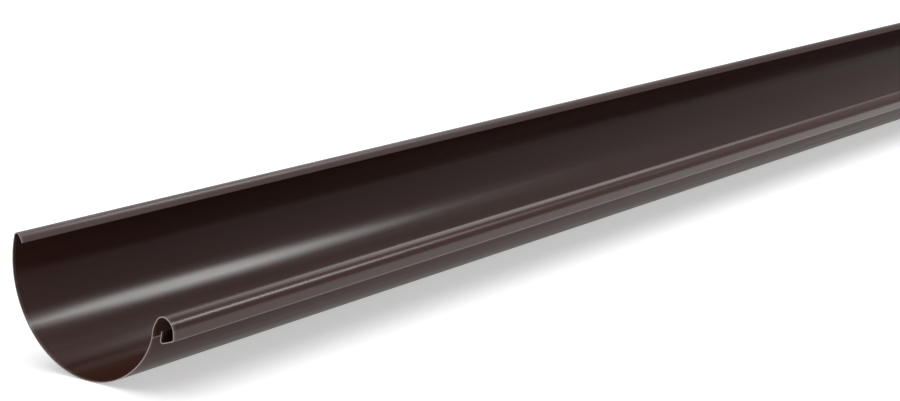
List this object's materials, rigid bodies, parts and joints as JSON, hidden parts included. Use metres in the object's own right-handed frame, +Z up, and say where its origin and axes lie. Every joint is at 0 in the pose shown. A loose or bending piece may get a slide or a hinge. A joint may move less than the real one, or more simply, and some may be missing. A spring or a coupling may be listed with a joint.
{
  "type": "half-round gutter section",
  "caption": "Straight half-round rain gutter in brown painted sheet steel, with a rolled bead on the front edge and a folded hem on the rear edge.",
  "frame": {"origin": "middle of the length and of the width, at the level of the floor that it lies on", "axes": "+X along the length, -Y towards the beaded front edge, +Y towards the folded rear edge, +Z up as it lies at rest"},
  "size_m": [3, 0.1368, 0.084],
  "materials": {
    "painted_steel": "satin dark chocolate brown coil paint on galvanised steel sheet, bare steel at the cut edges"
  },
  "bodies": {
    "root": {"gutter": "painted_steel"}
  },
  "joints": []
}
